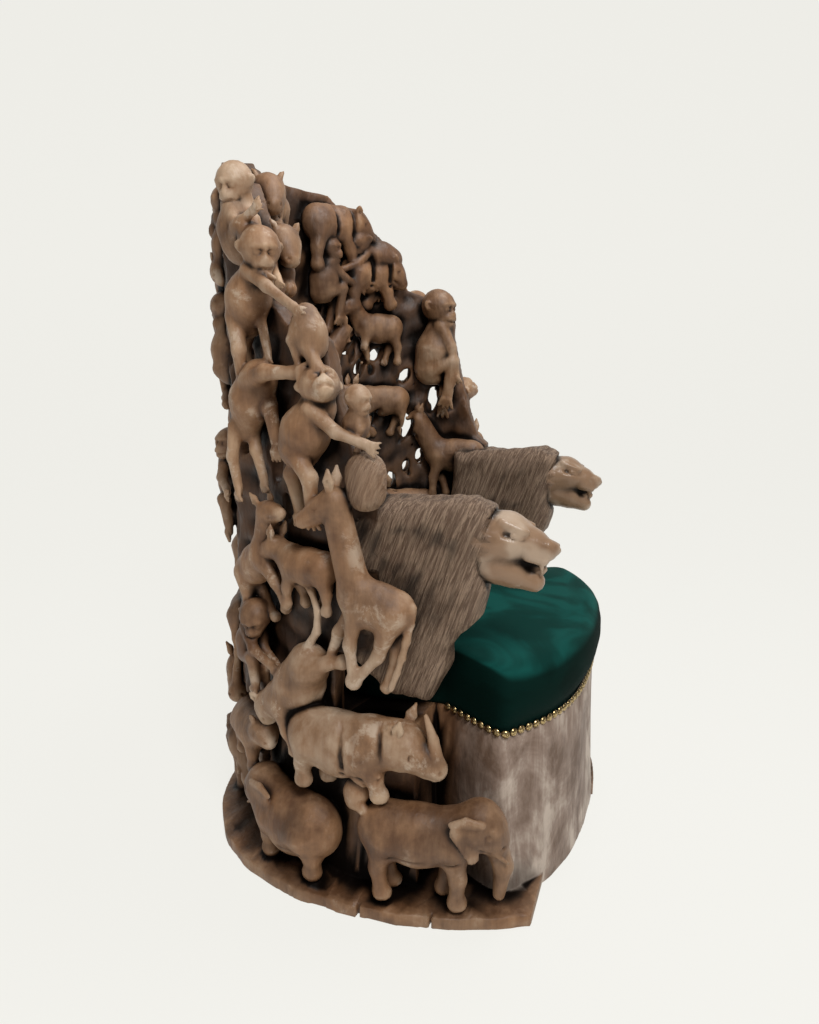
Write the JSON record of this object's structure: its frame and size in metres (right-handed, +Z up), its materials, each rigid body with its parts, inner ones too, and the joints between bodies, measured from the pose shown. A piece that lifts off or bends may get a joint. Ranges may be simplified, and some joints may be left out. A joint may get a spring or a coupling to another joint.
{
  "type": "throne",
  "caption": "Carved wooden barrel throne: openwork back of entwined animals, lion arms, round seat with a velvet cushion and domed nails.",
  "frame": {"origin": "middle of the plinth's flat underside", "axes": "+Z up; the sitter faces -Y; +X is to the sitter's left"},
  "size_m": [0.9512, 0.8306, 1.3714],
  "materials": {
    "carved_wood": "waxed, brown in the hollows and worn pale on the high spots; the seat drum is left pale",
    "velvet": "deep green velvet",
    "brass": "antique, dark in the hollows"
  },
  "bodies": {
    "root": {"carved_throne": "carved_wood", "seat_cushion": "velvet", "brass_nail_01": "brass", "brass_nail_02": "brass", "brass_nail_03": "brass", "brass_nail_04": "brass", "brass_nail_05": "brass", "brass_nail_06": "brass", "brass_nail_07": "brass", "brass_nail_08": "brass", "brass_nail_09": "brass", "brass_nail_10": "brass", "brass_nail_11": "brass", "brass_nail_12": "brass", "brass_nail_13": "brass", "brass_nail_14": "brass", "brass_nail_15": "brass", "brass_nail_16": "brass", "brass_nail_17": "brass", "brass_nail_18": "brass", "brass_nail_19": "brass", "brass_nail_20": "brass", "brass_nail_21": "brass", "brass_nail_22": "brass", "brass_nail_23": "brass", "brass_nail_24": "brass", "brass_nail_25": "brass", "brass_nail_26": "brass", "brass_nail_27": "brass", "brass_nail_28": "brass", "brass_nail_29": "brass", "brass_nail_30": "brass", "brass_nail_31": "brass", "brass_nail_32": "brass", "brass_nail_33": "brass", "brass_nail_34": "brass", "brass_nail_35": "brass", "brass_nail_36": "brass", "brass_nail_37": "brass", "brass_nail_38": "brass", "brass_nail_39": "brass", "brass_nail_40": "brass", "brass_nail_41": "brass", "brass_nail_42": "brass", "brass_nail_43": "brass", "brass_nail_44": "brass", "brass_nail_45": "brass", "brass_nail_46": "brass", "brass_nail_47": "brass", "brass_nail_48": "brass", "brass_nail_49": "brass", "brass_nail_50": "brass", "brass_nail_51": "brass", "brass_nail_52": "brass", "brass_nail_53": "brass", "brass_nail_54": "brass", "brass_nail_55": "brass", "brass_nail_56": "brass", "brass_nail_57": "brass"}
  },
  "joints": []
}
